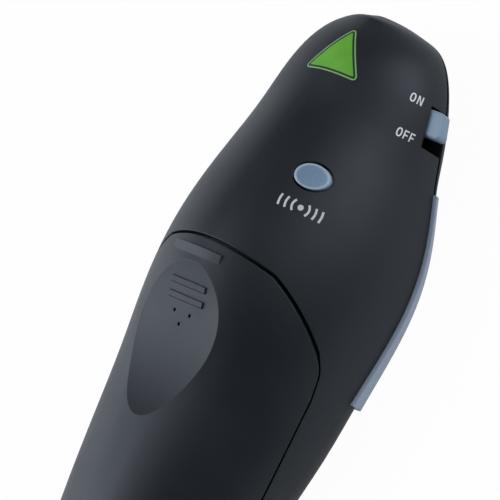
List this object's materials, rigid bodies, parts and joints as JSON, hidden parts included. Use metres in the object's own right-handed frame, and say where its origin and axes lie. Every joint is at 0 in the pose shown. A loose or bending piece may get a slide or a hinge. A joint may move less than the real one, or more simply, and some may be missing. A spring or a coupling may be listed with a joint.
{
  "type": "wireless presentation clicker",
  "caption": "Hand-held presentation remote, broad head and narrow tail, with recessed front keys, a side slide switch, a battery cover and a receiver docked in the tail.",
  "frame": {"origin": "bottom centre of the bounding box, on the flat front face that the clicker lies on", "axes": "+X towards the nose with the laser window, +Z towards the back with the battery cover, -Y towards the side with the power switch"},
  "size_m": [0.14, 0.0408, 0.0267],
  "materials": {
    "casing": "soft-touch matt black",
    "front_black": "matt black",
    "bezel_grey": "satin blue-grey",
    "key_dark": "satin charcoal",
    "key_blue": "satin slate blue",
    "knob_blue": "satin slate blue",
    "switch_black": "matt black",
    "board_green": "solder resist",
    "chip": "matt epoxy",
    "steel": "bright",
    "spring_steel": "bright wire",
    "nickel": "nickel plate",
    "brass": "turned",
    "window_red": "dark red, clear",
    "lens": "clear",
    "tray_black": "matt black",
    "cell_body": "plain grey sleeve",
    "receiver_black": "matt black",
    "tongue_white": "matt",
    "gold": "flash plating"
  },
  "bodies": {
    "casing": {"rear_casing": "casing", "front_shell": "front_black", "front_bezel": "bezel_grey", "tact_switch_housings": "steel", "main_board": "board_green", "radio_chip": "chip", "crystal_can": "steel", "slide_switch_housing": "steel", "laser_window": "window_red", "laser_barrel": "brass", "laser_lens": "lens", "laser_diode": "gold", "laser_driver_board": "board_green", "battery_tray": "tray_black", "battery_cell_left": "cell_body", "battery_cell_right": "cell_body", "positive_contact": "nickel", "negative_contact": "nickel", "bridge_contact": "nickel", "front_spring": "spring_steel", "rear_spring": "spring_steel", "board_screws": "steel", "case_screws": "steel", "tray_screws": "steel"},
    "power_switch": {"power_switch_knob": "knob_blue", "switch_actuator": "switch_black"},
    "connect": {"connect_button": "key_blue", "connect_switch_stem": "switch_black"},
    "cover": {"battery_cover": "casing"},
    "receiver": {"receiver_plug_shell": "nickel", "receiver_tongue": "tongue_white", "receiver_contacts": "gold", "receiver_board": "board_green", "receiver_housing": "receiver_black"},
    "laser": {"laser_key": "key_blue", "laser_switch_stem": "switch_black"},
    "play": {"play_key": "key_dark", "play_switch_stem": "switch_black"},
    "blank": {"blank_key": "key_dark", "blank_switch_stem": "switch_black"},
    "page_forward": {"page_forward_key": "key_dark", "page_forward_switch_stem": "switch_black"},
    "page_back": {"page_back_key": "key_dark", "page_back_switch_stem": "switch_black"}
  },
  "joints": [
    {"name": "power_switch_slide", "type": "slide", "parent": "casing", "child": "power_switch", "axis": [-1, 0, 0], "range_m": [0, 0.0014]},
    {"name": "connect_press", "type": "slide", "parent": "casing", "child": "connect", "axis": [0, 0, -1], "range_m": [0, 0.0004], "stiffness_N_per_m": 1000},
    {"name": "cover_slide", "type": "slide", "parent": "casing", "child": "cover", "axis": [-1, 0, 0], "range_m": [0, 0.105]},
    {"name": "receiver_slide", "type": "slide", "parent": "casing", "child": "receiver", "axis": [-1, 0, 0], "range_m": [0, 0.04]},
    {"name": "laser_press", "type": "slide", "parent": "casing", "child": "laser", "axis": [0, 0, 1], "range_m": [0, 0.0004], "stiffness_N_per_m": 1000},
    {"name": "play_press", "type": "slide", "parent": "casing", "child": "play", "axis": [0, 0, 1], "range_m": [0, 0.0004], "stiffness_N_per_m": 1000},
    {"name": "blank_press", "type": "slide", "parent": "casing", "child": "blank", "axis": [0, 0, 1], "range_m": [0, 0.0004], "stiffness_N_per_m": 1000},
    {"name": "page_forward_press", "type": "slide", "parent": "casing", "child": "page_forward", "axis": [0, 0, 1], "range_m": [0, 0.0004], "stiffness_N_per_m": 1000},
    {"name": "page_back_press", "type": "slide", "parent": "casing", "child": "page_back", "axis": [0, 0, 1], "range_m": [0, 0.0004], "stiffness_N_per_m": 1000}
  ]
}
